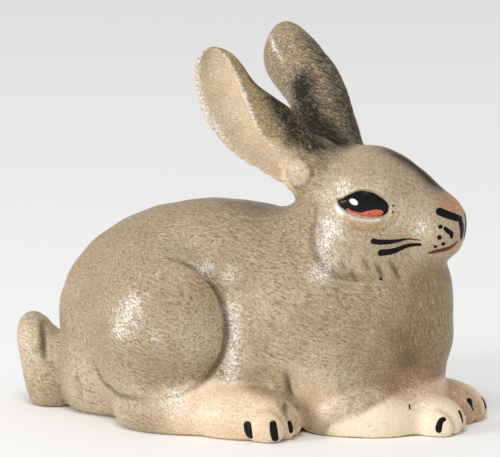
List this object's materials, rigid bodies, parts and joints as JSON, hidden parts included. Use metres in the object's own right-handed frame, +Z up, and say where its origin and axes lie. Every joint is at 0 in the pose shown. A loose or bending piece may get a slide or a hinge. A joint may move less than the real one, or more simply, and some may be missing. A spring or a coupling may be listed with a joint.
{
  "type": "rabbit figurine",
  "caption": "Small moulded and painted figurine of a rabbit lying crouched, ears up, that stands on its flat underside.",
  "frame": {"origin": "on the table, under the middle of the figurine's length and width", "axes": "+X the way the rabbit looks, +Y its left, +Z up"},
  "size_m": [0.0942, 0.0498, 0.0742],
  "materials": {
    "fur_paint": "satin",
    "cream_paint": "satin",
    "eye_paint": "gloss"
  },
  "bodies": {
    "root": {"head": "fur_paint", "neck": "fur_paint", "trunk": "fur_paint", "tail": "fur_paint", "haunch_left": "fur_paint", "haunch_right": "fur_paint", "foreleg_left": "fur_paint", "foreleg_right": "fur_paint", "hind_foot_left": "cream_paint", "hind_foot_right": "cream_paint", "forepaw_left": "cream_paint", "forepaw_right": "cream_paint", "ear_left": "cream_paint", "ear_right": "cream_paint", "eye_left": "eye_paint", "eye_right": "eye_paint"}
  },
  "joints": []
}
